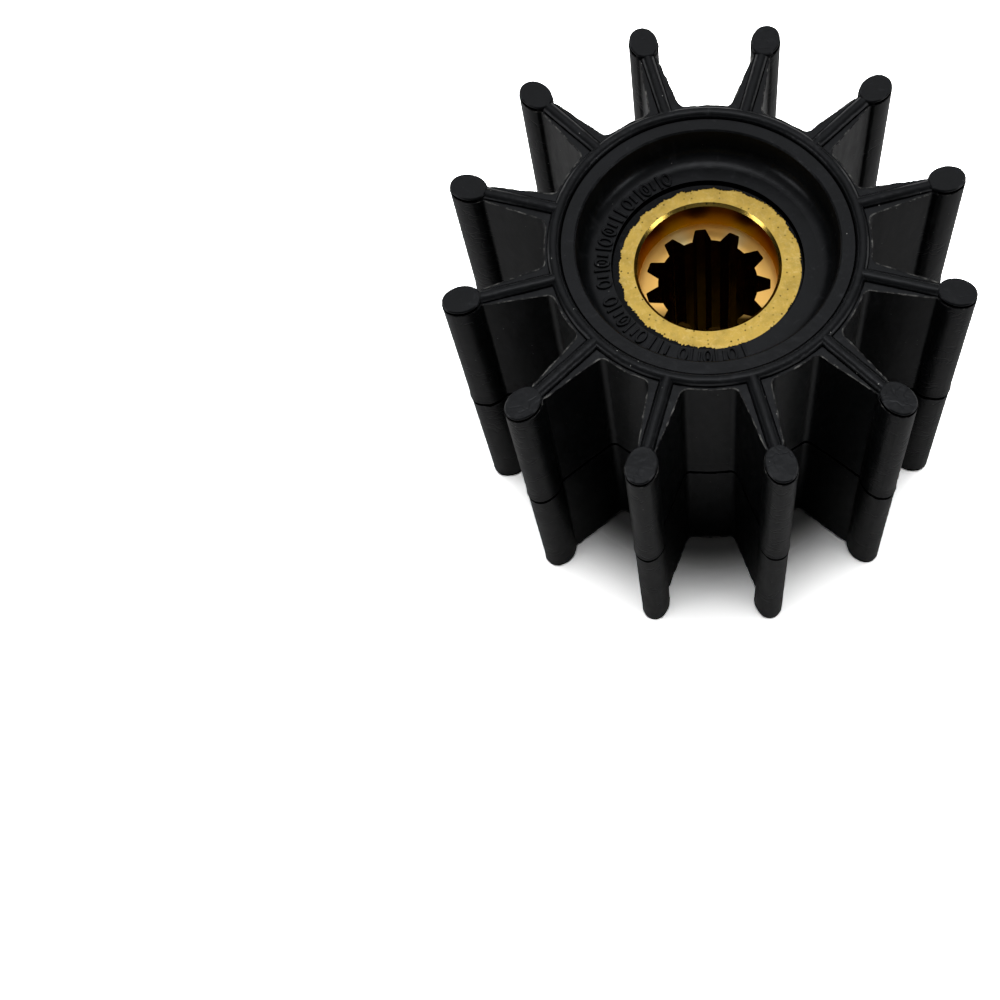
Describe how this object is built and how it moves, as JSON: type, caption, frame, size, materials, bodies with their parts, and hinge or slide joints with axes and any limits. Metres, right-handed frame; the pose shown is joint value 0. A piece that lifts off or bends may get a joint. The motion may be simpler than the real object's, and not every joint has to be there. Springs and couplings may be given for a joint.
{
  "type": "rubber pump impeller",
  "caption": "Flexible-blade rubber pump impeller, with straight thick-tipped blades round a cupped hub, moulded on a splined brass bush.",
  "frame": {"origin": "middle of the lower end, on the plane of the lower blade tips", "axes": "+Z along the shaft axis, towards the end with the counterbore; -Y faces midway between two blades"},
  "size_m": [0.0922, 0.0922, 0.075],
  "materials": {
    "rubber": "satin",
    "brass": "machined"
  },
  "bodies": {
    "root": {"impeller_body": "rubber", "splined_bush": "brass"}
  },
  "joints": []
}
